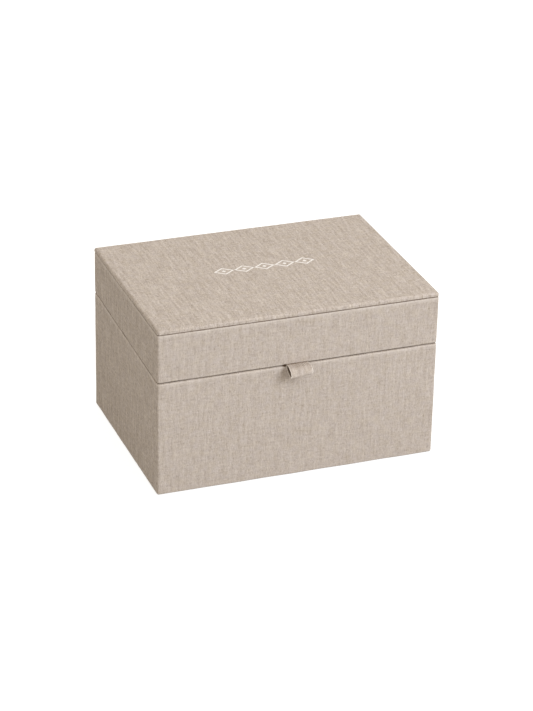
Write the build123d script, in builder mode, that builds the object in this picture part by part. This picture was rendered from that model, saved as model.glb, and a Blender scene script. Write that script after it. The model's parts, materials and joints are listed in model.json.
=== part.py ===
from build123d import *

import os

# A card box with a hinged lid: greyboard covered in linen bookcloth and lined with paper.
#
# Frame: X across the width, Y from front to back and Z up, with the origin at the centre of the face
# that the box rests on. All lengths are in millimetres.
#
# The base is a floor and four walls under one cloth. A neck of thinner boards stands inside it and
# rises past the rim, where it locates the lid. The lid is a frame of four walls under one cloth, with a
# wrapped panel glued on top. One cloth over the whole back is the hinge. A folded strip of cloth, glued
# into the lid's front, opens it.

# Outside
box_width = 190.0
box_depth = 136.0
box_height = 116.0
seam_front = 79.6  # height of the seam between base and lid, on the front
seam_back = 84.2  # and on the back
seam_gap = 0.5

# Materials
cloth = 0.5
paper = 0.2
card = 0.4
base_wall = 2.5
lid_wall = 1.9  # thinner than the base's, so that the lid clears the neck
neck_wall = 1.5
floor_thickness = 2.5
panel_board = 1.8

# Cloth turned in over the edges of the boards
rim_turn_in = 14.0
lid_top_turn_in = 8.0
floor_turn_in = 15.0
panel_turn_in = 15.0

# Rounding of the covered edges
corner_radius = 1.4
rim_radius = 0.8
foot_radius = 1.0
panel_corner_radius = 1.6
panel_edge_radius = 1.2
sheet_corner_radius = 3.0

# Neck and linings
neck_rise = 8.0  # above the base's rim
neck_drop = 1.2  # the neck's back stops this far below the rim
neck_run_down = 12.0  # length over which the neck's sides come down to it
neck_fit = 0.2  # between the neck's boards and the cloth of the base, filled with paper at the rim
neck_paper_reach = 6.0  # paper down the neck's outside, from the rim
lid_paper_margin = 3.0  # bare cloth between the lid's rim and its paper
sheet_margin = 4.0  # from the outside to the sheet under the base
infill_clearance = 0.3

# Cloth over the back
back_cloth_margin = 1.5  # from the box's upright edges
back_cloth_foot = 2.0  # height of its lower edge
back_cloth_head = 1.0  # from its upper edge to the panel
hinge_length = 4.0  # the stretch that bends, across the seam

# Pull tab
tab_center = -1.3
tab_width = 14.0
tab_ply = 0.4
tab_root_gap = 0.1  # between the glued tail and the loop that bends
tab_tail_height = 16.0
tab_tail_bend = 1.0
loop_top = ((6.1, -0.75), (9.6, -4.25))  # middle and end of the upper ply, out from the root and up
loop_bottom = ((8.8, -5.25), (3.1, -3.15))  # start and middle of the lower ply

# Places that follow from these
front_face = -box_depth / 2
back_face = box_depth / 2
covered_back = back_face - cloth  # the walls' own cloth ends under the cloth of the back
floor_bottom = card + cloth
floor_top = floor_bottom + floor_thickness
panel_bottom = box_height - panel_board - 2 * cloth
base_hollow = cloth + base_wall + cloth  # from the outside to the base's bare hollow
neck_outer = base_hollow + neck_fit
neck_inner = neck_outer + neck_wall
neck_hollow = neck_inner + paper
lid_hollow = cloth + lid_wall + cloth
tab_root_y = front_face - tab_ply - tab_root_gap

# The seam rises towards the back
seam = Plane(
    origin=(0, front_face, seam_front),
    x_dir=(1, 0, 0),
    z_dir=(0, seam_front - seam_back, box_depth),
)
base_rim = seam.offset(-seam_gap / 2)
lid_rim = seam.offset(seam_gap / 2)


def level(height):
    """Give the level plane at a height."""
    return Plane.XY.offset(height)


def height_on(plane, y):
    """Give the height of a plane along the seam at a distance y from the middle."""
    return plane.origin.Z - (y - plane.origin.Y) * plane.z_dir.Y / plane.z_dir.Z


def wall_outline(inset, radius=0.0, mode=Mode.ADD):
    """Draw the outside of the covered walls, moved in by inset, in the open sketch."""
    width = box_width - 2 * inset
    depth = covered_back - front_face - 2 * inset
    with Locations((0, (front_face + covered_back) / 2)):
        if radius:
            RectangleRounded(width, depth, radius, mode=mode)
        else:
            Rectangle(width, depth, mode=mode)


def walls(inset, lower, upper, inner=None, radius=0.0):
    """Make a block over that outline between two planes, hollow inside the inset given by inner."""
    with BuildPart() as block:
        with BuildSketch():
            wall_outline(inset, radius)
            if inner is not None:
                wall_outline(inner, mode=Mode.SUBTRACT)
        extrude(amount=2 * box_height, both=True)
        split(bisect_by=lower, keep=Keep.TOP)
        split(bisect_by=upper, keep=Keep.BOTTOM)
    return block.part


def panel_block(inset, bottom, top, radius=0.0):
    """Make a block over the top panel's outline, moved in by inset."""
    with BuildPart() as block:
        with BuildSketch(level(bottom)):
            if radius:
                RectangleRounded(box_width - 2 * inset, box_depth - 2 * inset, radius)
            else:
                Rectangle(box_width - 2 * inset, box_depth - 2 * inset)
        extrude(amount=top - bottom)
    return block.part


def side_of(ring, inner, side):
    """Cut one board from a ring of walls: front and back run the full width, the others fit between."""
    front = front_face + inner
    back = covered_back - inner
    reach = box_width / 2 - inner
    low, high = {
        "front": ((-box_width, -box_depth), (box_width, front)),
        "back": ((-box_width, back), (box_width, box_depth)),
        "left": ((-box_width, front), (-reach, back)),
        "right": ((reach, front), (box_width, back)),
    }[side]
    with BuildPart() as board:
        add(ring)
        with BuildSketch():
            with Locations(((low[0] + high[0]) / 2, (low[1] + high[1]) / 2)):
                Rectangle(high[0] - low[0], high[1] - low[1])
        extrude(amount=2 * box_height, both=True, mode=Mode.INTERSECT)
    return board


def neck_space(raised=0.0):
    """Make the space under the neck's top line, raised by an amount, across the whole box."""
    run_end = covered_back - neck_inner
    run_start = run_end - neck_run_down
    with BuildPart() as space:
        with BuildSketch(Plane.YZ):
            with BuildLine():
                Polyline(
                    (-box_depth, floor_top),
                    (-box_depth, height_on(base_rim, -box_depth) + neck_rise + raised),
                    (run_start, height_on(base_rim, run_start) + neck_rise + raised),
                    (run_end, height_on(base_rim, run_end) - neck_drop + raised),
                    (box_depth, height_on(base_rim, box_depth) - neck_drop + raised),
                    (box_depth, floor_top),
                    close=True,
                )
            make_face()
        extrude(amount=box_width, both=True)
    return space.part


def finish(built, name):
    """Label a finished piece and write it."""
    built.part.label = name
    export_step(built.part, f"parts/{name}.step")
    size = built.part.bounding_box().size
    print(f"{name}: {size.X:.1f} x {size.Y:.1f} x {size.Z:.1f}, {built.part.volume / 1000:.2f} cm3")


os.makedirs("parts", exist_ok=True)

# Base: a sheet on the underside, and an infill that makes it level inside the turned-in cloth
with BuildPart() as underside_sheet:
    add(walls(sheet_margin, level(0), level(card), radius=sheet_corner_radius))
finish(underside_sheet, "underside_sheet")

with BuildPart() as underside_infill:
    add(walls(floor_turn_in + infill_clearance, level(card), level(floor_bottom)))
finish(underside_infill, "underside_infill")

# Base: the floor, and the walls that stand on it
with BuildPart() as floor_board:
    add(walls(cloth, level(floor_bottom), level(floor_top), radius=corner_radius - cloth))
    fillet(floor_board.faces().sort_by(Axis.Z)[0].edges(), foot_radius - cloth)
finish(floor_board, "floor_board")

base_boards = walls(
    cloth, level(floor_top), base_rim.offset(-cloth), inner=cloth + base_wall, radius=corner_radius - cloth
)
for side in ("front", "back", "left", "right"):
    finish(side_of(base_boards, cloth + base_wall, side), f"base_{side}_board")

# Base: its cloth goes round the outside, under the floor, and over the rim to the inside
base_outside = walls(0, level(card), base_rim, radius=corner_radius)
base_inside = walls(base_hollow, level(floor_bottom), level(box_height))
base_bare_boards = walls(
    cloth + base_wall, level(floor_bottom), base_rim.offset(-rim_turn_in), inner=base_hollow
)
floor_window = walls(floor_turn_in, level(0), level(floor_bottom))
with BuildPart() as base_cloth:
    add(base_outside)
    fillet(base_cloth.faces().sort_by(Axis.Z)[0].edges(), foot_radius)
    fillet(base_cloth.faces().filter_by(base_rim).edges(), rim_radius)
    add(base_inside, mode=Mode.SUBTRACT)
    fillet(base_cloth.faces().filter_by(base_rim)[0].inner_wires()[0].edges(), rim_radius)
    add(base_boards, mode=Mode.SUBTRACT)
    add(base_bare_boards, mode=Mode.SUBTRACT)
    add(floor_board.part, mode=Mode.SUBTRACT)
    add(floor_window, mode=Mode.SUBTRACT)
finish(base_cloth, "base_cloth")

# Neck: its sides come down towards the back, where the lid swings
with BuildPart() as neck:
    add(walls(neck_outer, level(floor_top), level(box_height), inner=neck_inner))
    add(neck_space(), mode=Mode.INTERSECT)
for side in ("front", "back", "left", "right"):
    finish(side_of(neck.part, neck_inner, side), f"neck_{side}_board")

# Linings of the base: paper over the neck and a little way down its outside, card on the floor
neck_with_paper = walls(base_hollow, level(floor_top), level(box_height), inner=neck_hollow)
space_under_paper = neck_space(paper)
below_paper = walls(
    base_hollow, level(floor_top), base_rim.offset(-neck_paper_reach), inner=neck_outer
)
with BuildPart() as base_lining:
    add(neck_with_paper)
    add(space_under_paper, mode=Mode.INTERSECT)
    add(neck.part, mode=Mode.SUBTRACT)
    add(below_paper, mode=Mode.SUBTRACT)
finish(base_lining, "base_lining")

with BuildPart() as floor_lining:
    add(walls(neck_hollow, level(floor_top), level(floor_top + card)))
finish(floor_lining, "floor_lining")

# Pull tab: drawn from the right end of its root, out from the box and up
tab_plane = Plane(
    origin=(tab_center + tab_width / 2, tab_root_y, height_on(lid_rim, front_face) + tab_ply),
    x_dir=(0, -1, 0),
    z_dir=(-1, 0, 0),
)
tail_mouth = tab_root_y - front_face
tail_inside = tail_mouth - lid_hollow
with BuildPart() as tab_tail:
    with BuildSketch(tab_plane):
        with BuildLine():
            bend_start = (tail_inside + tab_tail_bend, -tab_ply)
            bend_end = (tail_inside, tab_tail_bend - tab_ply)
            Line((tail_mouth, -tab_ply), bend_start)
            TangentArc(bend_start, bend_end, tangent=(-1, 0))
            Polyline(
                bend_end,
                (tail_inside, tab_tail_height),
                (tail_inside + 2 * tab_ply, tab_tail_height),
                (tail_inside + 2 * tab_ply, tab_ply),
                (tail_mouth, tab_ply),
                (tail_mouth, -tab_ply),
            )
        make_face()
    extrude(amount=tab_width)
finish(tab_tail, "tab_tail")

with BuildPart() as pull_tab:
    with BuildSketch(tab_plane):
        with BuildLine() as slot:
            upper_ply = ThreePointArc((0, 0), *loop_top)
            TangentArc(loop_top[1], loop_bottom[0], tangent=upper_ply % 1)
            ThreePointArc(*loop_bottom, (0, 0))
        make_face()
        offset(amount=tab_ply)
        make_face(slot.edges(), mode=Mode.SUBTRACT)
    extrude(amount=tab_width)
finish(pull_tab, "pull_tab")

# Lid: its walls, with the front one cut away where the tab's tail is glued
lid_boards = walls(
    cloth,
    lid_rim.offset(cloth),
    level(panel_bottom - cloth),
    inner=cloth + lid_wall,
    radius=corner_radius - cloth,
)
for side in ("back", "left", "right"):
    finish(side_of(lid_boards, cloth + lid_wall, side), f"lid_{side}_board")

with BuildPart() as lid_front_board:
    add(side_of(lid_boards, cloth + lid_wall, "front").part)
    add(tab_tail.part, mode=Mode.SUBTRACT)
finish(lid_front_board, "lid_front_board")

# Lid: its cloth goes round the outside and over both edges to the inside
lid_outside = walls(0, lid_rim, level(panel_bottom), radius=corner_radius)
lid_inside = walls(lid_hollow, level(0), level(box_height))
lid_bare_boards = walls(
    cloth + lid_wall,
    lid_rim.offset(rim_turn_in),
    level(panel_bottom - lid_top_turn_in),
    inner=lid_hollow,
)
with BuildPart() as lid_cloth:
    add(lid_outside)
    fillet(lid_cloth.faces().filter_by(lid_rim).edges(), rim_radius)
    fillet(lid_cloth.faces().sort_by(Axis.Z)[-1].edges(), rim_radius)
    add(lid_inside, mode=Mode.SUBTRACT)
    fillet(lid_cloth.faces().filter_by(lid_rim)[0].inner_wires()[0].edges(), rim_radius)
    add(lid_boards, mode=Mode.SUBTRACT)
    add(lid_bare_boards, mode=Mode.SUBTRACT)
    add(tab_tail.part, mode=Mode.SUBTRACT)
finish(lid_cloth, "lid_cloth")

# Lid: the wrapped panel on top
board_bottom = panel_bottom + cloth
board_top = board_bottom + panel_board
panel_window = panel_block(panel_turn_in, panel_bottom, board_bottom)
with BuildPart() as top_board:
    add(panel_block(cloth, board_bottom, board_top, panel_corner_radius - cloth))
    fillet(top_board.faces().sort_by(Axis.Z)[-1].edges(), panel_edge_radius - cloth)
finish(top_board, "top_board")

with BuildPart() as top_cloth:
    add(panel_block(0, panel_bottom, box_height, panel_corner_radius))
    fillet(top_cloth.faces().sort_by(Axis.Z)[-1].edges(), panel_edge_radius)
    fillet(top_cloth.faces().sort_by(Axis.Z)[0].edges(), rim_radius)
    add(top_board.part, mode=Mode.SUBTRACT)
    add(panel_window, mode=Mode.SUBTRACT)
finish(top_cloth, "top_cloth")

# Lid: paper on the walls, and on the panel's underside, where it steps up inside the turned-in cloth
ceiling = panel_bottom - paper
with BuildPart() as lid_lining:
    add(
        walls(
            lid_hollow, lid_rim.offset(lid_paper_margin), level(ceiling), inner=lid_hollow + paper
        )
    )
finish(lid_lining, "lid_lining")

ceiling_step = panel_block(panel_turn_in + paper, ceiling, board_bottom - paper)
with BuildPart() as lid_top_lining:
    add(walls(lid_hollow, level(ceiling), level(panel_bottom)))
    add(panel_window)
    add(ceiling_step, mode=Mode.SUBTRACT)
finish(lid_top_lining, "lid_top_lining")

# Cloth over the back: one sheet, in three stretches because its middle bends
hinge_bottom = seam_back - hinge_length / 2
hinge_top = seam_back + hinge_length / 2
back_cloth_width = box_width - 2 * back_cloth_margin
for name, bottom, top in (
    ("back_cloth_base", back_cloth_foot, hinge_bottom),
    ("back_cloth_hinge", hinge_bottom, hinge_top),
    ("back_cloth_lid", hinge_top, panel_bottom - back_cloth_head),
):
    with BuildPart() as stretch:
        with BuildSketch(level(bottom)):
            with Locations((0, (covered_back + back_face) / 2)):
                Rectangle(back_cloth_width, cloth)
        extrude(amount=top - bottom)
    finish(stretch, name)
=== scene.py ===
import json
import math

import bpy
import numpy as np
from mathutils import Matrix, Vector


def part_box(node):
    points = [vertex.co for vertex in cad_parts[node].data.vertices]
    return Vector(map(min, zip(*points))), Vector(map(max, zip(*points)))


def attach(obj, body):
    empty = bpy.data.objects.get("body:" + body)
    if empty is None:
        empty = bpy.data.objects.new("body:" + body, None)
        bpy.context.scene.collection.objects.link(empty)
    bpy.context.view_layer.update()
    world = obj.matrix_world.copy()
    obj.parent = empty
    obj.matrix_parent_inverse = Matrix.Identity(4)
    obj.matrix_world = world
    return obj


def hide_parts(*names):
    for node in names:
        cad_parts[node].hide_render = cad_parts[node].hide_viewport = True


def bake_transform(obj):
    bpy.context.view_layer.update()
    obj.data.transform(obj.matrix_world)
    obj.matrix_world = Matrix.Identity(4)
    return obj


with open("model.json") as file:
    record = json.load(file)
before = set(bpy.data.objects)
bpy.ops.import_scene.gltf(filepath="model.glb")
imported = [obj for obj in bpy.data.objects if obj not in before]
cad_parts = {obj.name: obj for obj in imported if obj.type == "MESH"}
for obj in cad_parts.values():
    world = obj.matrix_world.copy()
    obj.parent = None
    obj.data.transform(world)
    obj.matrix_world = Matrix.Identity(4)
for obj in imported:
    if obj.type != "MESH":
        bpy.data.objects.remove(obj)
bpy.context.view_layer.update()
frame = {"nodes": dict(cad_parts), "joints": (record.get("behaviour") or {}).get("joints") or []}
print("frame loaded: card box with", len(frame["nodes"]), "pieces")

# Shapes below are worked out in millimetres and written to the meshes in metres.
mm = 0.001


def cornersOf(node):
    # Lowest and highest corner of a CAD node, in millimetres
    low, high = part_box(node)
    return np.array(low) / mm, np.array(high) / mm


baseLow, baseHigh = cornersOf("base_cloth")
_, lidHigh = cornersOf("lid_cloth")
topLow, topHigh = cornersOf("top_cloth")
backLow, _ = cornersOf("back_cloth_base")
_, backHigh = cornersOf("back_cloth_lid")
hinge = next(joint for joint in frame["joints"] if joint["name"] == "lid_hinge")
tabJoint = next(joint for joint in frame["joints"] if joint["name"] == "tab_flex")

seam = {
    "front": 79.6,  # height of the seam on the front
    "back": hinge["pos_m"][2] / mm,  # and on the back, where the lid turns
    "gap": 0.44,
    "left": -0.1,  # off level, at both ends of the front
    "right": 0.35,
}
cloth = {
    "thick": 0.5,
    "wallRadius": 1.6,  # upright corners
    "baseRimRadius": 1.2,  # where it goes over the edge of a board
    "lidRimRadius": 0.9,
    "innerRadius": 0.8,  # where it turns down on the inside of a rim
    "creaseRadius": 0.3,
    "footRadius": 1.1,
    "rimTurnIn": 14.0,
    "wearAndShadeSway": 0.15,  # how much the painted highlight and shade along the rims vary, and over what length
    "shadeSwayLength": 12.0,
}
baseRim = seam["front"] - seam["gap"] / 2  # on the front
lidRim = seam["front"] + seam["gap"] / 2


def backwards(y):
    # 0 on the front and 1 on the back
    return (y - baseLow[1]) / (baseHigh[1] - baseLow[1])


def seamLift(x, y):
    # How much higher the seam is than on the front: it rises evenly to the back, and on the front from
    # left to right by hand's error
    tilt = seam["left"] + (seam["right"] - seam["left"]) * (x - baseLow[0]) / (baseHigh[0] - baseLow[0])
    return (seam["back"] - seam["front"]) * backwards(y) + tilt * (1 - backwards(y))


def panelLift(x, y):
    # The line under the panel isn't quite level either
    return panelShape["lineFront"] + (panelShape["lineBack"] - panelShape["lineFront"]) * backwards(y)


def spread(length, step, support=0.25):
    # Distances from 0 to length, about one step apart. One lies close to each end, so that the flat part
    # shades flat.
    if length < 4 * support:
        return np.linspace(0, length, 3)
    inner = np.linspace(support, length - support, max(2, round(length / step) + 1))
    return np.concatenate([[0.0], inner, [length]])


def distancesOf(line):
    # How far along a line each of its points lies
    return np.concatenate([[0], np.cumsum(np.linalg.norm(np.diff(line, axis=0), axis=1))])


def chain(corners, step, arcSteps=6):
    # An open line through corners (inset, height, radius). Each corner is an arc tangent to both straights:
    # start + radius * (sin(a) * way in + (1 - cos(a)) * side), for a from 0 to the angle turned.
    places = np.array([corner[:2] for corner in corners], float)
    radii = [corner[2] if len(corner) > 2 else 0.0 for corner in corners]
    way = np.diff(places, axis=0)
    way /= np.linalg.norm(way, axis=1)[:, None]
    turn = np.arccos(np.clip((way[:-1] * way[1:]).sum(1), -1, 1))
    trim = np.concatenate([[0], np.array(radii[1:-1]) * np.tan(turn / 2), [0]])
    stretches = []
    for i, direction in enumerate(way):
        start = places[i] + direction * trim[i]
        end = places[i + 1] - direction * trim[i + 1]
        length = np.linalg.norm(end - start)
        straight = start + (end - start) * (spread(length, step) / length)[:, None]
        stretches.append(straight if i == 0 or radii[i] else straight[1:])
        if i + 1 < len(way) and radii[i + 1]:
            angle = np.linspace(0, turn[i], arcSteps + 1)[1:-1, None]
            side = (way[i + 1] - direction * math.cos(turn[i])) / math.sin(turn[i])
            stretches.append(end + radii[i + 1] * (np.sin(angle) * direction + (1 - np.cos(angle)) * side))
    return np.concatenate(stretches)


def planPath(low, high, radius, step=2.0, arcSteps=8, extra=()):
    # Stations round a rectangle with round corners, seen from above: left, front, right, then back. A
    # station has the signs of its corner centre, its outward direction and its distance along the outline.
    # The front gets extra stations, given as distances from its left end.
    size = np.array(high[:2]) - np.array(low[:2])
    corners = np.array([(-1, 1), (-1, -1), (1, -1), (1, 1)], float)
    straights, bends = [], []
    sign, normal, along = [], [], []
    travelled = 0.0
    for side in range(4):
        start, end = corners[side], corners[(side + 1) % 4]
        facing = math.pi + side * math.pi / 2
        length = (np.abs(end - start) / 2) @ (size - 2 * radius)
        run = np.union1d(spread(length, step), extra) if side == 1 else spread(length, step)
        bend = np.linspace(0, math.pi / 2, arcSteps + 1)[1:-1]
        sign += [start + (end - start) * (run / length)[:, None], np.tile(end, (len(bend), 1))]
        angle = np.concatenate([np.full(len(run), facing), facing + bend])
        normal.append(np.stack([np.cos(angle), np.sin(angle)], 1))
        along += [travelled + run, travelled + length + bend * radius]
        straights.append(len(run))
        bends.append(len(bend))
        travelled += length + radius * math.pi / 2
    return {
        "half": size / 2,
        "middle": (np.array(high[:2]) + np.array(low[:2])) / 2,
        "radius": radius,
        "sign": np.concatenate(sign),
        "normal": np.concatenate(normal),
        "along": np.concatenate(along),
        "round": travelled,
        "straights": straights,
        "bends": bends,
    }


def ringPlaces(path, inset, least=0.3):
    # Place = middle + signs * (half size - inset - r) + outward direction * r, where r = radius - inset,
    # kept over a least radius so that the inside corners don't cross. inset is (rows, stations).
    r = np.maximum(path["radius"] - inset, least)[..., None]
    return path["middle"] + path["sign"] * (path["half"] - inset[..., None] - r) + path["normal"] * r


def cornerness(path):
    # 1 on the diagonal of a corner, 0 on the straights
    return 2 * np.abs(path["normal"][:, 0] * path["normal"][:, 1])


def outwardOf(profile):
    # Unit direction away from the cloth's inside, across (inset, height), for a profile that starts under
    # the box, comes out, goes up and turns in: the way along it, turned a quarter
    way = np.gradient(profile, axis=0)
    way /= np.linalg.norm(way, axis=1)[:, None]
    return np.stack([-way[:, 1], way[:, 0]], 1)


def ripple(u, v, seed, length, waves=14):
    # Gentle unevenness with a spread of 1: a sum of sines of random direction and phase, each about one
    # length long
    draw = np.random.default_rng(seed)
    angle = draw.uniform(0, 2 * math.pi, waves)
    size = 2 * math.pi / (length * draw.uniform(0.6, 1.7, waves))
    phase = draw.uniform(0, 2 * math.pi, waves)
    swing = u[..., None] * np.cos(angle) * size + v[..., None] * np.sin(angle) * size + phase
    return np.sin(swing).sum(-1) * math.sqrt(2 / waves)


def bump(distance, width):
    # exp(-(distance / width)^2)
    return np.exp(-((distance / width) ** 2))


def gridFaces(rows, columns, closeRows=False, closeColumns=False, first=0):
    # Quads between neighbours of a grid, which may close on itself either way
    row = np.arange(rows if closeRows else rows - 1)[:, None]
    column = np.arange(columns if closeColumns else columns - 1)[None]

    def at(r, c):
        return first + (r % rows) * columns + c % columns

    faces = [at(row, column), at(row, column + 1), at(row + 1, column + 1), at(row + 1, column)]
    return np.stack(faces, -1).reshape(-1, 4)


def gridCorners(u, v):
    # The map's corners of those quads, from u and v given at every line of the grid, the closing line too
    at = np.stack(np.broadcast_arrays(u, v), -1)
    corners = np.stack([at[:-1, :-1], at[:-1, 1:], at[1:, 1:], at[1:, :-1]], -2)
    return corners.reshape(-1, 4, 2)


def volumeOf(points, faces):
    # Six times the volume enclosed: the sum over a fan of triangles of a . (b x c)
    total = 0.0
    for group in faces:
        for i in range(1, group.shape[1] - 1):
            a, b, c = points[group[:, 0]], points[group[:, i]], points[group[:, i + 1]]
            total += np.einsum("ij,ij->i", a, np.cross(b, c)).sum()
    return total


def edgeTone(section, outward, rims):
    # Painted light and shade along a rim: a painted highlight where the cloth turns over a board's edge,
    # and painted shade where it goes on into the gap, fading from 0.9 to 1.9 mm in. With s the share of the
    # outward direction that points to the gap, the tone near a rim is light * exp(-((s - 0.12) / 0.32)^2) -
    # dark * ramp from s0 to s0 + 0.3.
    tone = np.zeros(len(section))
    for rim in rims:
        towards = rim["way"] * outward[:, 1]
        near = np.clip(1.5 - np.abs(section[:, 1] - rim["height"]) / rim["reach"], 0, 1)
        shade = np.clip((towards - rim["darkFrom"]) / 0.3, 0, 1) * np.clip(1.9 - section[:, 0], 0, 1)
        tone += near * (rim["light"] * bump(towards - 0.12, 0.32) - rim["dark"] * shade)
    return tone


def buildPiece(name, points, faces, maps, tone, grain=1.0, sharp=50):
    # One closed piece from points in millimetres, groups of faces, the groups' map corners, also in
    # millimetres, and each point's edge tone and strength of grain. A negative volume means that the shell
    # is inside out, so it is turned round.
    if volumeOf(points, faces) < 0:
        faces = [group[:, ::-1] for group in faces]
        maps = [corners[:, ::-1] for corners in maps]
    mesh = bpy.data.meshes.new(name)
    mesh.from_pydata(points * mm, [], [face for group in faces for face in group.tolist()])
    layer = mesh.uv_layers.new(name="weave")
    layer.data.foreach_set("uv", np.concatenate([corners.reshape(-1) for corners in maps]) * mm)
    for label, values in (("edgeTone", tone), ("grain", grain)):
        values = np.broadcast_to(np.ravel(values), len(points))
        mesh.attributes.new(label, "FLOAT", "POINT").data.foreach_set("value", values)
    mesh.shade_smooth()
    mesh.set_sharp_from_angle(angle=math.radians(sharp))
    piece = bpy.data.objects.new(name, mesh)
    bpy.context.scene.collection.objects.link(piece)
    return piece


def dress(piece, material):
    piece.data.materials.clear()
    piece.data.materials.append(material)


# Shader nodes


def put(tree, kind, *values, **settings):
    # Adds a node. The values fill its inputs in order: sockets are linked, numbers are set, and None is
    # passed over.
    node = tree.nodes.new("ShaderNode" + kind)
    for name, value in settings.items():
        setattr(node, name, value)
    for socket, value in zip(node.inputs, values):
        if isinstance(value, bpy.types.NodeSocket):
            tree.links.new(value, socket)
        elif value is not None:
            socket.default_value = value
    return node


def calc(tree, operation, *values):
    return put(tree, "Math", *values, operation=operation).outputs[0]


def blendColor(tree, share, first, second, mode="MIX"):
    node = put(tree, "Mix", data_type="RGBA", blend_type=mode)
    for index, value in ((0, share), (6, first), (7, second)):
        if isinstance(value, bpy.types.NodeSocket):
            tree.links.new(value, node.inputs[index])
        else:
            node.inputs[index].default_value = value
    return node.outputs[2]


def noise(tree, place, scale, detail=2.0, rough=0.5):
    node = put(tree, "TexNoise", place, noise_dimensions="3D")
    node.inputs["Scale"].default_value = scale
    node.inputs["Detail"].default_value = detail
    node.inputs["Roughness"].default_value = rough
    return node.outputs["Fac"]


def noiseVector(tree, place):
    node = put(tree, "TexNoise", place, noise_dimensions="3D")
    node.inputs["Scale"].default_value = 300.0
    return node.outputs["Color"]


def clamp(tree, value):
    return calc(tree, "MINIMUM", calc(tree, "MAXIMUM", value, 0.0), 1.0)


def around(tree, value, middle, strength, base):
    # (value - middle) * strength + base
    return calc(tree, "MULTIPLY_ADD", calc(tree, "SUBTRACT", value, middle), strength, base)


def noisePlace(tree, x, y, scaleX, scaleY, z):
    # Where to read a noise that is stretched by its own amount each way. z picks another part of it.
    return put(
        tree, "CombineXYZ", calc(tree, "MULTIPLY", x, scaleX), calc(tree, "MULTIPLY", y, scaleY), z
    ).outputs[0]


def paint(red, green, blue):
    # A colour given as it looks on screen, 0 to 255, in the linear values that nodes take
    share = np.array([red, green, blue]) / 255
    linear = np.where(share <= 0.04045, share / 12.92, ((share + 0.055) / 1.055) ** 2.4)
    return (*[float(value) for value in linear], 1.0)


def newGroup(name, inputs, outputs):
    # A shader node group: inputs are (name, default), outputs are names
    group = bpy.data.node_groups.new(name, "ShaderNodeTree")
    for label, default in inputs:
        kind = "NodeSocketVector" if default is None else "NodeSocketFloat"
        socket = group.interface.new_socket(label, in_out="INPUT", socket_type=kind)
        if default is not None:
            socket.default_value = default
    for label in outputs:
        group.interface.new_socket(label, in_out="OUTPUT", socket_type="NodeSocketFloat")
    return group, group.nodes.new("NodeGroupInput"), group.nodes.new("NodeGroupOutput")


weaveScale = {  # how fine each pattern in the cloth is, per metre
    "waver": 130.0,  # threads that don't run quite straight
    "thread": 380.0,  # tone along one thread
    "lengthwise": (600.0, 60.0),  # long streaks, across them and along them
    "crosswise": (70.0, 560.0),
    "fleck": 420.0,
    "speck": 560.0,
    "patch": 210.0,
}


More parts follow.
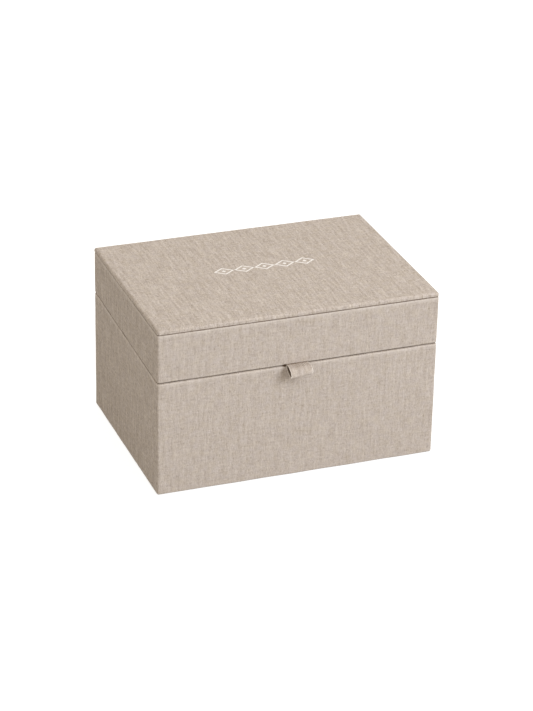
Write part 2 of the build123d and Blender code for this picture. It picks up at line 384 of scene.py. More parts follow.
def linenWeave():
    # Plain weave on a cloth's own map, in metres. U = u / pitch and V = v / pitch count the threads. A warp
    # thread stands |sin(pi U)| + sway * sin(pi V + pi floor(U)) high, a weft thread |sin(pi V)| - sway *
    # sin(pi U + pi floor(V)), and the higher one shows. Each thread has its own tone, which changes along
    # it, and the cloth has long faint streaks, a grain of about a millimetre, short dark bits, and warmer
    # and cooler patches.
    group, given, result = newGroup(
        "linenWeave",
        [("Place", None), ("Pitch", 0.0005), ("Slub", 1.0), ("Streak", 1.0), ("Fleck", 1.0)],
        ["Tone", "Warmth", "Height"],
    )
    place, pitch = given.outputs["Place"], given.outputs["Pitch"]
    split = put(group, "SeparateXYZ", place)
    u, v = split.outputs[0], split.outputs[1]
    turned = put(group, "CombineXYZ", v, u, 0.31).outputs[0]
    waverU = calc(group, "MULTIPLY_ADD", noise(group, place, weaveScale["waver"], 1.0), 1.1, -0.55)
    waverV = calc(group, "MULTIPLY_ADD", noise(group, turned, weaveScale["waver"], 1.0), 1.1, -0.55)
    countU = calc(group, "ADD", calc(group, "DIVIDE", u, pitch), waverU)
    countV = calc(group, "ADD", calc(group, "DIVIDE", v, pitch), waverV)
    warp, weft = calc(group, "FLOOR", countU), calc(group, "FLOOR", countV)
    piU, piV = calc(group, "MULTIPLY", countU, math.pi), calc(group, "MULTIPLY", countV, math.pi)
    swayWarp = calc(group, "SINE", calc(group, "MULTIPLY_ADD", warp, math.pi, piV))
    swayWeft = calc(group, "SINE", calc(group, "MULTIPLY_ADD", weft, math.pi, piU))
    roundU = calc(group, "ABSOLUTE", calc(group, "SINE", piU))
    roundV = calc(group, "ABSOLUTE", calc(group, "SINE", piV))
    warpHeight = calc(group, "MULTIPLY_ADD", swayWarp, 0.45, roundU)
    weftHeight = calc(group, "MULTIPLY_ADD", swayWeft, -0.45, roundV)
    warpShows = calc(group, "GREATER_THAN", warpHeight, weftHeight)
    height = calc(group, "MULTIPLY_ADD", calc(group, "MAXIMUM", warpHeight, weftHeight), 0.5, 0.22)

    alongWarp = noisePlace(group, warp, v, 7.31, weaveScale["thread"], 0.5)
    alongWeft = noisePlace(group, u, weft, weaveScale["thread"], 7.31, 4.5)
    warpTone, weftTone = noise(group, alongWarp, 1.0, 1.0), noise(group, alongWeft, 1.0, 1.0)
    threadGap = calc(group, "SUBTRACT", warpTone, weftTone)
    thread = calc(group, "MULTIPLY_ADD", threadGap, warpShows, weftTone)  # of whichever thread shows
    lengthwise = noise(group, noisePlace(group, u, v, *weaveScale["lengthwise"], 0.0), 1.0)
    crosswise = noise(group, noisePlace(group, u, v, *weaveScale["crosswise"], 9.0), 1.0)
    streak = calc(group, "MULTIPLY_ADD", crosswise, 0.3, lengthwise)
    tall = noise(group, noisePlace(group, u, v, 1.9, 1.0, 2.0), weaveScale["fleck"], 2.0, 0.6)
    wide = noise(group, noisePlace(group, u, v, 0.7, 1.6, 5.0), weaveScale["fleck"], 2.0, 0.6)
    fleck = calc(group, "MULTIPLY_ADD", wide, 0.6, tall)
    speck = noise(group, noisePlace(group, u, v, 2.6, 1.0, 7.0), weaveScale["speck"], 1.0)
    speck = calc(group, "MAXIMUM", calc(group, "SUBTRACT", speck, 0.56), 0.0)  # short dark bits

    tone = around(group, thread, 0.5, given.outputs["Slub"], 0.5)
    tone = around(group, streak, 0.65, given.outputs["Streak"], tone)
    tone = around(group, fleck, 0.8, given.outputs["Fleck"], tone)
    tone = calc(group, "MULTIPLY_ADD", speck, -1.4, tone)
    tone = around(group, height, 0.7, 0.35, tone)  # painted shade between threads
    warmth = around(group, noise(group, place, weaveScale["patch"], 2.0, 0.6), 0.5, 2.2, 0.5)
    relief = calc(group, "MULTIPLY_ADD", height, 0.3, fleck)  # slubs stand proud
    group.links.new(clamp(group, tone), result.inputs["Tone"])
    group.links.new(clamp(group, warmth), result.inputs["Warmth"])
    group.links.new(relief, result.inputs["Height"])
    return group


def paperFibre():
    # Pressed fibres: soft clouds, fine long fibres lying every way, and a few dark specks
    group, given, result = newGroup(
        "paperFibre", [("Place", None), ("Fibre", 1.0), ("Speck", 0.0)], ["Tone", "Height"]
    )
    place = given.outputs["Place"]
    cloud = noise(group, place, 90.0, 3.0)
    bent = put(group, "VectorMath", noiseVector(group, place), None, None, 0.004, operation="SCALE")
    bent = put(group, "VectorMath", place, bent.outputs[0], operation="ADD").outputs[0]
    lying = put(group, "Mapping", bent, None, (0, 0, 0.6), (2400.0, 260.0, 700.0)).outputs[0]
    crossing = put(group, "Mapping", bent, None, (0, 0, -0.8), (260.0, 2200.0, 640.0)).outputs[0]
    fibre = calc(group, "MAXIMUM", noise(group, lying, 1.0, 2.0), noise(group, crossing, 1.0, 2.0))
    speck = calc(group, "GREATER_THAN", noise(group, place, 900.0, 0.0), 0.79)
    tone = around(group, cloud, 0.5, 0.5, 0.55)
    tone = around(group, fibre, 0.56, given.outputs["Fibre"], tone)
    tone = calc(group, "SUBTRACT", tone, calc(group, "MULTIPLY", speck, given.outputs["Speck"]))
    group.links.new(clamp(group, tone), result.inputs["Tone"])
    group.links.new(fibre, result.inputs["Height"])
    return group


weaveGroup = linenWeave()
fibreGroup = paperFibre()


def startMaterial(name, rough, specular):
    material = bpy.data.materials.new(name)
    material.use_nodes = True
    tree = material.node_tree
    shader = tree.nodes["Principled BSDF"]
    shader.inputs["Roughness"].default_value = rough
    shader.inputs["Specular IOR Level"].default_value = specular
    return material, tree, shader


def useGroup(tree, group, place, **values):
    node = put(tree, "Group")
    node.node_tree = group
    tree.links.new(place, node.inputs["Place"])
    for label, value in values.items():
        node.inputs[label].default_value = value
    return node


linen = {
    "dark": (156, 141, 126),
    "light": (224, 213, 202),
    "warm": (1.006, 1.0, 0.965, 1.0),  # patches, as shares of the colour
    "cool": (0.994, 1.0, 1.035, 1.0),
    "paintedHighlightAndPaleCut": (228, 218, 207),  # painted highlight over the boards' edges, and the pale cut edges
    "paintedShade": (98, 74, 50),  # painted shade in the gaps, creases and hollows
    "pitch": 0.00052,  # from thread to thread
    "slub": 0.7,
    "streak": 0.52,
    "fleck": 0.31,
    "relief": 0.0004,  # height of the weave
    "sideGrain": 0.6,  # how much stronger the grain is painted on the two sides, as painted shading of the weave's relief under grazing light
    "topGrain": 1.45,  # strength of the grain on the top, where the front has 1, raised as painted shading of the weave's relief under grazing light
    "rough": 0.88,
    "sheen": 0.06,
}


def linenMaterial(name, ornamented=False):
    material, tree, shader = startMaterial(name, linen["rough"], 0.25)
    place = put(tree, "UVMap", uv_map="weave").outputs[0]
    weave = useGroup(
        tree, weaveGroup, place,
        Pitch=linen["pitch"], Slub=linen["slub"], Streak=linen["streak"], Fleck=linen["fleck"],
    )
    grain = put(tree, "Attribute", attribute_name="grain").outputs["Fac"]
    tone = around(tree, weave.outputs["Tone"], 0.5, grain, 0.5)
    color = blendColor(tree, tone, paint(*linen["dark"]), paint(*linen["light"]))
    patches = blendColor(tree, weave.outputs["Warmth"], linen["cool"], linen["warm"])
    color = blendColor(tree, 1.0, color, patches, "MULTIPLY")
    if ornamented:
        mask = ornament(tree, place, weave.outputs["Height"])
        color = blendColor(tree, mask, color, paint(*lidPrint["ink"]))
    # Edge tone above 0 paints highlight over the rims and pale cut edges, below 0 paints shade in the gaps
    # and hollows
    edge = put(tree, "Attribute", attribute_name="edgeTone").outputs["Fac"]
    color = blendColor(tree, clamp(tree, edge), color, paint(*linen["paintedHighlightAndPaleCut"]))
    paintedShade = clamp(tree, calc(tree, "MULTIPLY", edge, -1.0))
    color = blendColor(tree, paintedShade, color, paint(*linen["paintedShade"]))
    tree.links.new(color, shader.inputs["Base Color"])
    relief = put(tree, "Bump", 0.6, linen["relief"])
    tree.links.new(weave.outputs["Height"], relief.inputs["Height"])
    tree.links.new(relief.outputs[0], shader.inputs["Normal"])
    shader.inputs["Sheen Weight"].default_value = linen["sheen"]
    shader.inputs["Sheen Roughness"].default_value = 0.6
    return material


lidPrint = {
    "middle": (0.0022, 0.0052),  # of the printed row, on the lid
    "count": 5,  # lozenges
    "pitch": 0.014,
    "half": (0.0062, 0.0045),  # half width and half height of a lozenge
    "line": 0.00052,  # half width of its line
    "stud": 0.0015,  # half width of the lozenge in its middle
    "ink": (246, 241, 235),
    "cover": 0.96,
    "follow": 0.00022,  # how far its edge follows the threads
    "sharp": 6000.0,  # of its edge, per metre
}


def ornament(tree, place, height):
    # A row of lozenges with a small one in each. With X and Y from the middle of the nearest lozenge, its
    # outline is where |X| / half width + |Y| / half height comes within a line's width of 1.
    half, pitch = lidPrint["half"], lidPrint["pitch"]
    split = put(tree, "SeparateXYZ", place)
    x = calc(tree, "SUBTRACT", split.outputs[0], lidPrint["middle"][0])
    y = calc(tree, "ABSOLUTE", calc(tree, "SUBTRACT", split.outputs[1], lidPrint["middle"][1]))
    number = calc(tree, "ROUND", calc(tree, "DIVIDE", x, pitch))
    reach = (lidPrint["count"] - 1) / 2
    number = calc(tree, "MINIMUM", calc(tree, "MAXIMUM", number, -reach), reach)
    x = calc(tree, "ABSOLUTE", calc(tree, "MULTIPLY_ADD", number, -pitch, x))
    lozenge = calc(tree, "ADD", calc(tree, "DIVIDE", x, half[0]), calc(tree, "DIVIDE", y, half[1]))
    slope = half[0] * half[1] / math.hypot(*half)
    outline = calc(tree, "MULTIPLY", calc(tree, "ABSOLUTE", calc(tree, "SUBTRACT", lozenge, 1.0)), slope)
    outline = calc(tree, "SUBTRACT", outline, lidPrint["line"])
    stud = calc(tree, "MULTIPLY", calc(tree, "SUBTRACT", calc(tree, "ADD", x, y), lidPrint["stud"]), 0.71)
    edge = calc(tree, "MINIMUM", outline, stud)  # distance from the ink's edge, negative inside
    edge = around(tree, height, 0.96, -lidPrint["follow"], edge)
    share = calc(tree, "MULTIPLY_ADD", edge, -lidPrint["sharp"], 0.5)
    return calc(tree, "MULTIPLY", clamp(tree, share), lidPrint["cover"])


def fibreMaterial(name, dark, light, fibre, speck, relief, rough=0.9):
    material, tree, shader = startMaterial(name, rough, 0.2)
    place = put(tree, "TexCoord").outputs["Object"]
    paper = useGroup(tree, fibreGroup, place, Fibre=fibre, Speck=speck)
    color = blendColor(tree, paper.outputs["Tone"], paint(*dark), paint(*light))
    tree.links.new(color, shader.inputs["Base Color"])
    bumpNode = put(tree, "Bump", 0.5, relief)
    tree.links.new(paper.outputs["Height"], bumpNode.inputs["Height"])
    tree.links.new(bumpNode.outputs[0], shader.inputs["Normal"])
    return material


wallLinen = linenMaterial("linen")
lidLinen = linenMaterial("linenPrinted", ornamented=True)
greyboard = fibreMaterial("greyboard", (118, 112, 103), (158, 152, 142), 1.2, 0.35, 0.0001)
liningPaper = fibreMaterial("liningPaper", (222, 215, 203), (242, 237, 227), 0.5, 0.0, 0.00005)
undersidePaper = fibreMaterial("undersidePaper", (186, 177, 164), (212, 204, 191), 0.7, 0.12, 0.00006)
print("materials made")


# Cloth round the walls


def wallWrap(name, path, outer, inner, lifts, shape):
    # The cloth's cross-section, carried round the walls. A point at (inset, height) of the section stands
    # at height + the sum of share * lift(x, y), where a lift's share goes from 0 to 1 between its two
    # heights. Its outer face is moved along its outward direction by an uneven amount and by a small tuck
    # in each corner.
    section = np.concatenate([outer, inner])
    travelled = distancesOf(section)
    shown = np.concatenate([np.minimum(1, spreadFrom(outer)), np.zeros(len(inner))])[:, None]
    outward = np.concatenate([outwardOf(outer), outwardOf(inner)])
    along = path["along"][None]
    uneven = shape["uneven"]
    amount = uneven["amount"] * ripple(along, travelled[:, None], uneven["seed"], uneven["length"])
    for tuck in shape["tucks"]:
        near = bump(section[:, 1] - tuck["height"], tuck["size"])[:, None] * (section[:, :1] < 0.5)
        amount = amount - tuck["depth"] * near * cornerness(path)[None]
    amount = amount * shown
    inset = section[:, :1] + outward[:, :1] * amount
    place = ringPlaces(path, inset)
    z = section[:, 1:] + outward[:, 1:] * amount
    for lift, low, high in lifts:
        z = z + np.clip((section[:, 1:] - low) / (high - low), 0, 1) * lift(place[..., 0], place[..., 1])
    points = np.concatenate([place, z[..., None]], -1).reshape(-1, 3)
    faces = gridFaces(len(section), len(path["along"]), closeRows=True, closeColumns=True)
    u = np.append(path["along"], path["round"])[None]
    total = travelled[-1] + np.linalg.norm(section[0] - section[-1])
    v = np.append(travelled, total)[:, None]
    # The painted highlight and shade along the rims sway along the way round
    wornAndShadeSway = 1 + cloth["wearAndShadeSway"] * ripple(along, travelled[:, None], uneven["seed"] + 1, cloth["shadeSwayLength"])
    tone = edgeTone(section, outward, shape["rims"])[:, None] * wornAndShadeSway
    # Painted shade in the opening that the tab holds in the seam
    opening = wedge(place[..., 0], place[..., 1])
    tone = tone - tabGap["dark"] * opening * bump(section[:, 1:] - seam["front"], 0.7)
    # The grain is painted stronger on the two sides, as painted shading of the weave's relief under grazing
    # light
    grain = np.broadcast_to(1 + linen["sideGrain"] * path["normal"][:, 0] ** 2, tone.shape)
    piece = buildPiece(name, points, [faces], [gridCorners(u, v)], tone, grain)
    flat = (path["round"] * mm, travelled[len(outer) - 1] * mm)
    return piece, flat, ringArea(path, outer)


def spreadFrom(line, fade=1.0):
    # 0 at both ends of a line and 1 from one fade's length inside
    travelled = distancesOf(line)
    return np.minimum(1, np.minimum(travelled, travelled[-1] - travelled) / fade)


def ringArea(path, line):
    # Area of a cloth laid along a line carried round the path, in square metres: the sum of length times
    # way round, which is shorter by 8 insets
    middle = (line[1:] + line[:-1]) / 2
    length = np.linalg.norm(np.diff(line, axis=0), axis=1)
    return float((length * (path["round"] - 8 * middle[:, 0])).sum()) * mm * mm


hollow = {"base": 3.5, "lid": 2.9}  # from the outside to the inner face of the turned-in cloth

baseWrapShape = {
    "floorTurnIn": 15.0,
    "uneven": {"amount": 0.035, "length": 26.0, "seed": 11},
    "tucks": [{"height": baseRim - 2.2, "depth": 0.22, "size": 1.3}],
    # Painted highlight on the rounded rim and foot, and painted shade into the seam and under the foot
    "rims": [
        {"height": baseRim, "way": 1, "reach": 1.5, "light": 0.5, "dark": 0.55, "darkFrom": 0.65},
        {"height": baseLow[2], "way": -1, "reach": 1.0, "light": 0.2, "dark": 0.3, "darkFrom": 0.6},
    ],
}
tabGap = {  # the tab holds the seam open a little, beside its left edge
    "fromMiddle": 8.8,
    "width": 1.2,
    "lidRise": 0.3,
    "baseDip": 0.08,
    # painted shade in the opening beside the tab
    "dark": 1.6,
    "reach": 3.0,  # of the closer stations, each way
    "step": 0.4,
}
nearTab = tabJoint["pos_m"][0] / mm - tabGap["fromMiddle"]


def wedge(x, y):
    # exp(-((x - nearTab) / width)^2) on the front face, fading out to 1.6 mm behind it
    return bump(x - nearTab, tabGap["width"]) * np.clip(1.6 - (y - baseLow[1]), 0, 1)


def frontStations():
    # Closer stations beside the tab, as distances from the left end of the front's straight part
    reach = tabGap["reach"]
    return nearTab - baseLow[0] - cloth["wallRadius"] + np.arange(-reach, reach + 0.01, tabGap["step"])


def buildBaseWrap():
    thick, rim, foot = cloth["thick"], cloth["baseRimRadius"], cloth["footRadius"]
    innerRim, crease = cloth["innerRadius"], cloth["creaseRadius"]
    inside, turned = hollow["base"], baseRim - cloth["rimTurnIn"]
    window = baseWrapShape["floorTurnIn"]
    ground = baseLow[2]
    path = planPath(baseLow, baseHigh, cloth["wallRadius"], extra=frontStations())
    outer = chain(
        [
            (window, ground),
            (0, ground, foot),
            (0, baseRim, rim),
            (inside, baseRim, innerRim),
            (inside, turned),
        ],
        step=2.0,
        arcSteps=8,
    )
    inner = chain(
        [
            (inside - thick, turned),
            (inside - thick, baseRim - thick, crease),
            (thick, baseRim - thick, rim - thick),
            (thick, ground + thick, 0.1),
            (window, ground + thick),
        ],
        step=9.0,
        arcSteps=3,
    )
    lifts = [
        (seamLift, ground + 4, turned - 2),
        (lambda x, y: -tabGap["baseDip"] * wedge(x, y), baseRim - 1.5, baseRim - 0.4),
    ]
    piece, flat, area = wallWrap("base_wrap", path, outer, inner, lifts, baseWrapShape)
    dress(piece, wallLinen)
    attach(piece, "base")
    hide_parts("base_cloth")


lidWrapShape = {
    "topTurnIn": 8.0,
    "topRadius": 1.05,
    "sunk": 0.05,  # its top below the panel
    "uneven": {"amount": 0.03, "length": 24.0, "seed": 23},
    "tucks": [{"height": lidRim + 1.6, "depth": 0.12, "size": 1.0}],
    # Painted highlight and painted shade at the lower rim over the seam, and at the top edge under the
    # panel
    "rims": [
        {"height": lidRim, "way": -1, "reach": 1.0, "light": 0.12, "dark": 0.55, "darkFrom": 0.5},
        {"height": lidHigh[2], "way": 1, "reach": 1.5, "light": 0.55, "dark": 0.9, "darkFrom": 0.6},
    ],
}


def buildLidWrap():
    thick, rim, topRim = cloth["thick"], cloth["lidRimRadius"], lidWrapShape["topRadius"]
    innerRim, crease = cloth["innerRadius"], cloth["creaseRadius"]
    inside, turned = hollow["lid"], lidRim + cloth["rimTurnIn"]
    ceiling = lidHigh[2] - lidWrapShape["sunk"]
    topTurned = ceiling - lidWrapShape["topTurnIn"]
    path = planPath(baseLow, baseHigh, cloth["wallRadius"], extra=frontStations())
    outer = chain(
        [
            (inside, turned),
            (inside, lidRim, innerRim),
            (0, lidRim, rim),
            (0, ceiling, topRim),
            (inside, ceiling, crease),
            (inside, topTurned),
        ],
        step=2.0,
        arcSteps=8,
    )
    inner = chain(
        [
            (inside - thick, topTurned),
            (inside - thick, ceiling - thick),
            (thick, ceiling - thick, topRim - thick),
            (thick, lidRim + thick, rim - thick),
            (inside - thick, lidRim + thick, crease),
            (inside - thick, turned),
        ],
        step=9.0,
        arcSteps=3,
    )
    lifts = [
        (seamLift, topTurned - 2, turned + 1),
        (panelLift, ceiling - 6, ceiling - 1.5),
        (lambda x, y: tabGap["lidRise"] * wedge(x, y), lidRim + 1.6, lidRim + 0.4),
    ]
    piece, flat, area = wallWrap("lid_wrap", path, outer, inner, lifts, lidWrapShape)
    dress(piece, wallLinen)
    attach(piece, "lid")
    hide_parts("lid_cloth")


# Cloth of the top panel

panelShape = {
    "cornerRadius": 1.5,
    "edgeRadius": 1.7,
    "underRadius": 0.5,
    "turnIn": 15.0,
    "border": 3.0,  # width of the rounded border outside the flat grid
    "lineFront": -0.28,  # off level, the line under the panel
    "lineBack": 0.35,
    "uneven": {"amount": 0.03, "length": 30.0, "seed": 37},
    "pit": {"height": 1.2, "depth": 0.4, "size": 0.7},  # where the folds meet in each corner, from below
    # Painted shade on the underside of the panel's edge, over the gap to the walls
    "rims": [{"height": topLow[2], "way": -1, "reach": 0.8, "light": 0.0, "dark": 0.8, "darkFrom": 0.3}],
}


def plateGrid(path, inset, height, first):
    # The flat inside a ring: a grid on the stations' own spacing. Returns its points, its faces, and for
    # each station of the ring the grid point beside it.
    ring = ringPlaces(path, np.full((1, len(path["along"])), inset))[0]
    leftCount, frontCount = path["straights"][0], path["straights"][1]
    frontStart = leftCount + path["bends"][0]
    xs = ring[frontStart : frontStart + frontCount, 0]
    ys = ring[:leftCount, 1][::-1]
    x, y = np.meshgrid(xs, ys, indexing="ij")
    points = np.stack([x, y, np.full_like(x, height)], -1).reshape(-1, 3)
    faces = gridFaces(frontCount, leftCount, first=first)
    number = first + np.arange(frontCount * leftCount).reshape(frontCount, leftCount)
    sides = [number[0, ::-1], number[:, 0], number[-1], number[::-1, -1]]
    beside = np.concatenate(
        [np.concatenate([side, np.full(bends, side[-1])]) for side, bends in zip(sides, path["bends"])]
    )
    return points, faces, beside


def joinPlate(ringFirst, beside):
    # Faces between a ring and its plate: quads along the straights, and a fan of triangles in each corner
    count = len(beside)
    here = np.arange(count)
    following = (here + 1) % count
    quads = np.stack([ringFirst + here, ringFirst + following, beside[following], beside[here]], 1)
    single = beside[following] == beside[here]
    return quads[~single], quads[single][:, :3]


def buildTopWrap():
    thick, under = cloth["thick"], panelShape["underRadius"]
    window, border, edge = panelShape["turnIn"], panelShape["border"], panelShape["edgeRadius"]
    low, high = topLow[2], topHigh[2]
    path = planPath(topLow, topHigh, panelShape["cornerRadius"])
    outer = chain([(window, low), (0, low, under), (0, high, edge), (border, high)], step=2.0, arcSteps=8)
    inner = chain(
        [
            (border, high - thick),
            (thick, high - thick, edge - thick),
            (thick, low + thick, 0.2),
            (window, low + thick),
        ],
        step=9.0,
        arcSteps=3,
    )
    section = np.concatenate([inner, outer])
    split = len(inner)
    fromBorder = distancesOf(section)
    fromBorder[split:] = fromBorder[-1] - fromBorder[split:]  # the outer face has its own border
    flatRing = ringPlaces(path, np.full((1, len(path["along"])), border))
    mapPlace = flatRing + path["normal"] * fromBorder[:, None, None]
    uneven, pit = panelShape["uneven"], panelShape["pit"]

    def unevenness(place):
        return uneven["amount"] * ripple(place[..., 0], place[..., 1], uneven["seed"], uneven["length"])

    amount = unevenness(mapPlace)
    near = bump(section[:, 1] - low - pit["height"], pit["size"])[:, None] * (section[:, :1] < 0.5)
    amount = amount - pit["depth"] * near * cornerness(path)[None] ** 3
    amount[:split] = 0
    outward = np.concatenate([outwardOf(inner), outwardOf(outer)])
    amount *= np.clip(1.5 + 2 * outward[:, 1:], 0, 1)  # nothing on the underside
    place = ringPlaces(path, section[:, :1] + outward[:, :1] * amount)
    below = np.clip((high - edge - section[:, 1:]) / (high - edge - low), 0, 1)
    below *= np.clip(hollow["lid"] - 0.3 - section[:, :1], 0, 1)  # over the lid's walls only
    below[:split] = 0
    z = section[:, 1:] + outward[:, 1:] * amount + below * panelLift(place[..., 0], place[..., 1])
    points = np.concatenate([place, z[..., None]], -1).reshape(-1, 3)
    tone = edgeTone(section, outward, panelShape["rims"])[:, None] * np.ones(len(path["along"]))

    columns = len(path["along"])
    faces = [gridFaces(len(section), columns, closeColumns=True)]
    closed = np.concatenate([mapPlace, mapPlace[:, :1]], 1)
    maps = [gridCorners(closed[..., 0], closed[..., 1])]
    flatMap = mapPlace.reshape(-1, 2)
    for ringFirst, level, moved in ((0, high - thick, 0), ((len(section) - 1) * columns, high, 1)):
        plate, plateFaces, beside = plateGrid(path, border, level, len(points))
        plate[:, 2] += moved * unevenness(plate)
        flatMap = np.concatenate([flatMap, plate[:, :2]])
        points = np.concatenate([points, plate])
        quads, fans = joinPlate(ringFirst, beside)
        groups = [plateFaces, quads, fans]
        if not moved:
            groups = [group[:, ::-1] for group in groups]
        faces += groups
        maps += [flatMap[group] for group in groups]
    tone = np.concatenate([tone.ravel(), np.zeros(len(points) - tone.size)])
    piece = buildPiece("top_wrap", points, faces, maps, tone, linen["topGrain"])
    dress(piece, lidLinen)
    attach(piece, "lid")
    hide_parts("top_cloth")


# Cloth over the back, and the pull tab: sheets of one thickness


def plyShell(name, outerGrid, innerGrid, u, v, tone):
    # A sheet from its two faces, (rows, columns, 3) each, closed along its four edges. u and v are the map,
    # and tone is the edge tone, for both faces or for each.
    rows, columns = outerGrid.shape[:2]
    points = np.concatenate([outerGrid.reshape(-1, 3), innerGrid.reshape(-1, 3)])
    flatMap = np.stack(np.broadcast_arrays(u, v), -1).reshape(-1, 2)
    flatMap = np.concatenate([flatMap, flatMap])
    number = np.arange(rows * columns).reshape(rows, columns)
    border = np.concatenate([number[0, :-1], number[:-1, -1], number[-1, :0:-1], number[:0:-1, 0]])
    after = np.roll(border, -1)
    behind = rows * columns
    edge = np.stack([after, border, border + behind, after + behind], 1)
    front = gridFaces(rows, columns)
    back = front[:, ::-1] + behind
    faces = [front, back, edge]
    maps = [flatMap[group] for group in faces]
    return buildPiece(name, points, faces, maps, np.broadcast_to(tone, (2, rows, columns)))


backClothShape = {
    "groove": 0.35,  # how far it dips into the seam
    "grooveWidth": 0.9,
    "bend": 1.25,  # half of the stretch that bends, each side of the seam
    "fine": 4.0,  # half of the stretch with closer lines
    "fineLines": 33,
    "wearAndShadeSway": 0.12,  # how much thinner it is along its cut edges
    "uneven": {"amount": 0.03, "length": 28.0, "seed": 41},
}


def buildBackCloth():
    # On a grid of x and z, y = face - wear at the cut edges - groove * exp(-((z - seam) / width)^2) and a
    # little unevenness that only goes inwards
    fine = backClothShape["fine"]
    x = backLow[0] + spread(backHigh[0] - backLow[0], 2.0)
    z = np.concatenate([
        backLow[2] + spread(seam["back"] - fine - backLow[2], 2.0)[:-1],
        np.linspace(seam["back"] - fine, seam["back"] + fine, backClothShape["fineLines"])[:-1],
        seam["back"] + fine + spread(backHigh[2] - seam["back"] - fine, 2.0),
    ])
    z, x = np.meshgrid(z, x, indexing="ij")
    fromEdge = np.minimum.reduce([x - backLow[0], backHigh[0] - x, z - backLow[2], backHigh[2] - z])
    wornAndShadeSway = backClothShape["wearAndShadeSway"] * np.clip(1 - fromEdge / 0.25, 0, 1)
    uneven = backClothShape["uneven"]
    wave = uneven["amount"] * (ripple(x, z, uneven["seed"], uneven["length"]) - 1.2)
    dip = backClothShape["groove"] * bump(z - seam["back"], backClothShape["grooveWidth"])
    outer = np.stack([x, backHigh[1] - wornAndShadeSway - dip + np.minimum(wave, 0), z], -1)
    inner = np.stack([x, backLow[1] - dip, z], -1)
    # Pale along its cut edges, with painted shade in the groove along the seam
    tone = 0.5 * np.clip(1 - fromEdge / 0.4, 0, 1) - 0.5 * bump(z - seam["back"], 0.5)
    piece = plyShell("back_cloth", outer, inner, -x, z, tone)
    dress(piece, wallLinen)
    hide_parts("back_cloth_base", "back_cloth_hinge", "back_cloth_lid")
    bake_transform(piece)


tabShape = {
    "width": 14.6,
    "ply": 0.5,
    "shift": -0.6,  # of its middle, from the joint's
    "skew": 0.4,  # how much further left the lower ply lies than the upper
    "twist": 1.5,  # how much higher the tip's right end is than its left
    "tailUp": 15.5,  # how high the glued ends stand inside the lid's front
    "tailIn": (1.9, 2.3),  # how far in each glued ply stands
    "upper": [(0.0, 0.05), (4.6, 0.55), (9.3, -1.1), (10.2, -4.3)],  # out from the front, up from the root
    "tip": [(10.2, -4.3), (10.42, -5.1), (9.6, -5.75), (8.8, -5.15)],
    "lower": [(8.8, -5.15), (5.2, -4.1), (1.9, -2.2), (0.0, -0.5)],
    "crease": {"depth": 0.16, "slant": 0.9, "pace": 3.6, "middle": (0.22, 2.8), "size": (3.2, 3.0)},
    "limp": {"amount": 0.16, "length": 9.0, "seed": 5},
    "fray": {"width": 0.3, "thinner": 0.25, "amount": 0.07, "length": 0.9, "seed": 8},
    "cutEdge": 0.55,  # width of the lighter band along the cut edges: pale frayed threads, partly painted highlight
    # Tones: pale cut edges with painted highlight, painted light and shade along the creases, and painted
    # shade at the root, near the lid and inside the loop
    "tones": {"cut": 1.1, "crease": 0.4, "root": 1.5, "shaded": 0.22, "within": 0.8},
}


def bezier(points, count):
    # (1-t)^3 a + 3 (1-t)^2 t b + 3 (1-t) t^2 c + t^3 d
    t = np.linspace(0, 1, count)[:, None]
    a, b, c, d = np.array(points, float)
    return (1 - t) ** 3 * a + 3 * (1 - t) ** 2 * t * b + 3 * (1 - t) * t**2 * c + t**3 * d


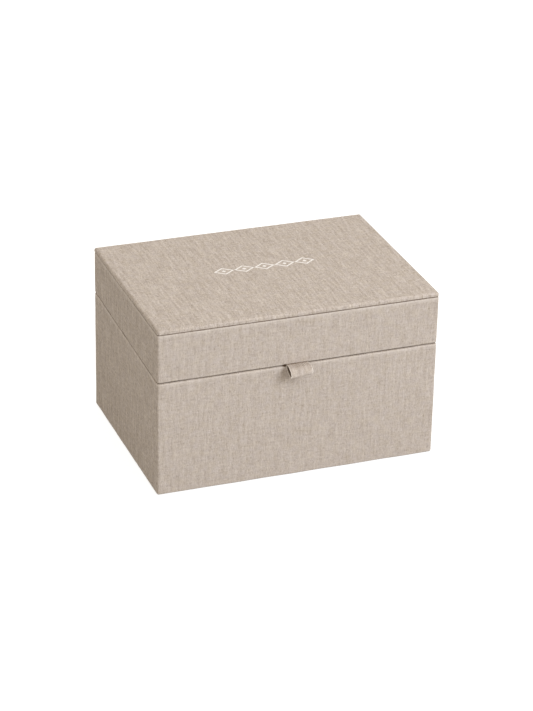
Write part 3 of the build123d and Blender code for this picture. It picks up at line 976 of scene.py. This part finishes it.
def buildPullTab():
    # The strip's middle line goes down behind the lid's front, out through the seam, round the loop and
    # back. Each face is that line moved half a ply along its normal, and carried across the width.
    ply, tailIn, tailUp = tabShape["ply"], tabShape["tailIn"], tabShape["tailUp"]
    crease, sag, frayed, tones = (tabShape[key] for key in ("crease", "limp", "fray", "tones"))
    upper, lower = tabShape["upper"], tabShape["lower"]
    stretches = [
        chain([(-tailIn[0], tailUp), (-tailIn[0], upper[0][1], 0.9), upper[0]], 1.5)[:-1],
        bezier(upper, 40)[:-1],
        bezier(tabShape["tip"], 18)[:-1],
        bezier(lower, 36),
        chain([lower[-1], (-tailIn[1], lower[-1][1], 0.9), (-tailIn[1], tailUp)], 1.5)[1:],
    ]
    line = np.concatenate(stretches)
    onTop = (np.arange(len(line)) < len(stretches[0]) + len(stretches[1]))[:, None]
    travelled = distancesOf(line)
    way = np.gradient(line, travelled, axis=0)
    way /= np.linalg.norm(way, axis=1)[:, None]
    normal = np.stack([-way[:, 1], way[:, 0]], 1)
    width = tabShape["width"]
    x = spread(width, 0.35, 0.12) - width / 2
    along, x = np.meshgrid(travelled, x, indexing="ij")
    out = np.broadcast_to(line[:, :1], x.shape)
    free = np.clip((out - 0.4) / 2.0, 0, 1)  # nothing moves where it is glued
    creased = np.sin((x * crease["slant"] + out) * crease["pace"])
    creased = creased * bump(x - width * crease["middle"][0], crease["size"][0])
    creased = creased * bump(out - crease["middle"][1], crease["size"][1]) * free * onTop
    limp = sag["amount"] * free * ripple(x, along, sag["seed"], sag["length"])
    fromCut = width / 2 - np.abs(x)
    fray = np.clip(1 - fromCut / frayed["width"], 0, 1)
    points = {}
    for face, half in (("outer", ply / 2), ("inner", -ply / 2)):
        reach = (half * (1 - frayed["thinner"] * fray) + crease["depth"] * creased + limp)[..., None]
        place = line[:, None] + normal[:, None] * reach
        loose = ripple(along, x * 0, frayed["seed"], frayed["length"])
        sideways = x + np.sign(x) * fray * frayed["amount"] * loose + tabShape["shift"]
        sideways = sideways - tabShape["skew"] * free * ~onTop
        raised = tabShape["twist"] * (x / width + 0.5) * np.clip(out / 9, 0, 1)
        points[face] = np.stack([
            sideways + tabJoint["pos_m"][0] / mm,
            baseLow[1] - place[..., 0],
            tabJoint["pos_m"][2] / mm + place[..., 1] + raised,
        ], -1)
    # Lighter along the cut edges: pale frayed threads with painted highlight. Painted light and shade
    # follow the creases; painted shade lies in the crease at the root, broken like the threads crossing it,
    # and on the top near the lid.
    cut = np.clip(1 - fromCut / tabShape["cutEdge"], 0, 1)
    atRoot = bump(out - 0.2, 0.75) * onTop * (0.8 + 0.2 * np.sin(x * 3.9))
    shaded = tones["shaded"] * bump(out - 2.0, 4.0) * onTop
    tone = tones["cut"] * cut * (1 + 0.3 * ripple(along, x, 9, 1.2)) + tones["crease"] * creased
    tone = tone - tones["root"] * atRoot - shaded
    within = tone - tones["within"] * np.clip((fromCut - 0.15) / 0.4, 0, 1)  # painted shade inside the loop
    piece = plyShell("pull_tab_strip", points["outer"], points["inner"], x, along, np.stack([tone, within]))
    dress(piece, wallLinen)
    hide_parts("pull_tab", "tab_tail")
    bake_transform(piece)


buildBaseWrap()
buildLidWrap()
buildTopWrap()
print("cloth round base, lid and top panel made")
buildBackCloth()
buildPullTab()
print("back cloth and pull tab made")


# Linings, boards and underside

finishes = [
    (liningPaper, ("base_lining", "floor_lining", "lid_lining", "lid_top_lining")),
    (undersidePaper, ("underside_sheet",)),
    (greyboard, [name for name in frame["nodes"] if name.endswith("_board")] + ["underside_infill"]),
]
for material, names in finishes:
    for name in names:
        for slot in frame["nodes"][name].material_slots:
            slot.material = material

boardEdge = {"radius": 0.8, "steps": 3}


def roundBoard(board):
    # Board edges are pressed round where the cloth is drawn over them, so that it lies clear of them
    weld = board.modifiers.new("weld", "WELD")
    weld.merge_threshold = 0.01 * mm
    edge = board.modifiers.new("pressedEdge", "BEVEL")
    edge.width = boardEdge["radius"] * mm
    edge.segments = boardEdge["steps"]
    edge.limit_method = "ANGLE"


for name, node in frame["nodes"].items():
    if name.startswith(("base_", "lid_", "top_")) and name.endswith("_board"):
        roundBoard(node)
print("boards and linings finished")


# Studio

studio = {
    "keyPlace": (0.96, -1.60, 1.22),
    "keyAim": (0.0, 0.0, 0.05),
    "keySize": 1.0,  # side of the square lamp
    "keyWatts": 30.8,
    "keyColor": (0.84, 0.895, 1.0),
    "skyColor": (1.0, 0.942, 0.862, 1.0),
    "skyStrength": 0.772,
    "floorSize": 12.0,
    "floorColor": (182, 180, 177),
    "floorGlow": 0.8,  # only as it is seen, so that it is white, keeps its shadow and lights nothing
}


def buildKeyLight():
    light = bpy.data.lights.new("keyLight", "AREA")
    light.shape = "SQUARE"
    light.size = studio["keySize"]
    light.energy = studio["keyWatts"]
    light.color = studio["keyColor"]
    lamp = bpy.data.objects.new("keyLight", light)
    lamp.location = studio["keyPlace"]
    away = Vector(studio["keyPlace"]) - Vector(studio["keyAim"])
    lamp.rotation_euler = away.to_track_quat("Z", "Y").to_euler()
    bpy.context.scene.collection.objects.link(lamp)


def whiteWhereSeen(tree):
    # 1 for rays that come from the camera, or through or off something clear or shiny
    rays = put(tree, "LightPath")
    seen = calc(tree, "MAXIMUM", rays.outputs["Is Camera Ray"], rays.outputs["Is Glossy Ray"])
    return calc(tree, "MAXIMUM", seen, rays.outputs["Is Transmission Ray"])


def buildSky():
    world = bpy.data.worlds.new("studioSky")
    world.use_nodes = True
    tree = world.node_tree
    sky = tree.nodes["Background"]
    sky.inputs["Color"].default_value = studio["skyColor"]
    sky.inputs["Strength"].default_value = studio["skyStrength"]
    white = put(tree, "Background", (1.0, 1.0, 1.0, 1.0), 1.0)
    mix = put(tree, "MixShader", whiteWhereSeen(tree), sky.outputs[0], white.outputs[0])
    tree.links.new(mix.outputs[0], tree.nodes["World Output"].inputs["Surface"])
    bpy.context.scene.world = world


def buildFloor():
    half = studio["floorSize"] / 2
    mesh = bpy.data.meshes.new("floor")
    corners = [(-half, -half, 0), (half, -half, 0), (half, half, 0), (-half, half, 0)]
    mesh.from_pydata(corners, [], [(0, 1, 2, 3)])
    floor = bpy.data.objects.new("floor", mesh)
    bpy.context.scene.collection.objects.link(floor)
    material, tree, shader = startMaterial("floorWhite", 0.9, 0.0)
    shader.inputs["Base Color"].default_value = paint(*studio["floorColor"])
    shader.inputs["Emission Color"].default_value = (1.0, 1.0, 1.0, 1.0)
    glow = calc(tree, "MULTIPLY", whiteWhereSeen(tree), studio["floorGlow"])
    tree.links.new(glow, shader.inputs["Emission Strength"])
    mesh.materials.append(material)


view = {
    "place": (-0.5383, -1.4312, 0.8031),
    "azimuth": -20.718,  # degrees, from looking straight at the front
    "elevation": 26.1105,
    "roll": 1.2118,
    "lens": 130.306,  # for 36 mm along the long side
}


def buildCamera():
    azimuth, elevation, roll = (math.radians(view[key]) for key in ("azimuth", "elevation", "roll"))
    level, rise = math.cos(elevation), math.sin(elevation)
    back = Vector((math.sin(azimuth) * level, -math.cos(azimuth) * level, rise))
    flatRight = Vector((math.cos(azimuth), math.sin(azimuth), 0))
    upright = back.cross(flatRight)
    right = math.cos(roll) * flatRight + math.sin(roll) * upright
    up = math.cos(roll) * upright - math.sin(roll) * flatRight
    lens = bpy.data.cameras.new("camera")
    lens.sensor_width = 36
    lens.lens = view["lens"]
    lens.clip_start = 0.05
    camera = bpy.data.objects.new("camera", lens)
    turn = Matrix((right, up, back)).transposed().to_4x4()
    camera.matrix_world = Matrix.Translation(view["place"]) @ turn
    bpy.context.scene.collection.objects.link(camera)
    bpy.context.scene.camera = camera


buildSky()
buildFloor()
buildKeyLight()
buildCamera()
bpy.context.scene.view_settings.view_transform = "Standard"
print("studio and camera set")
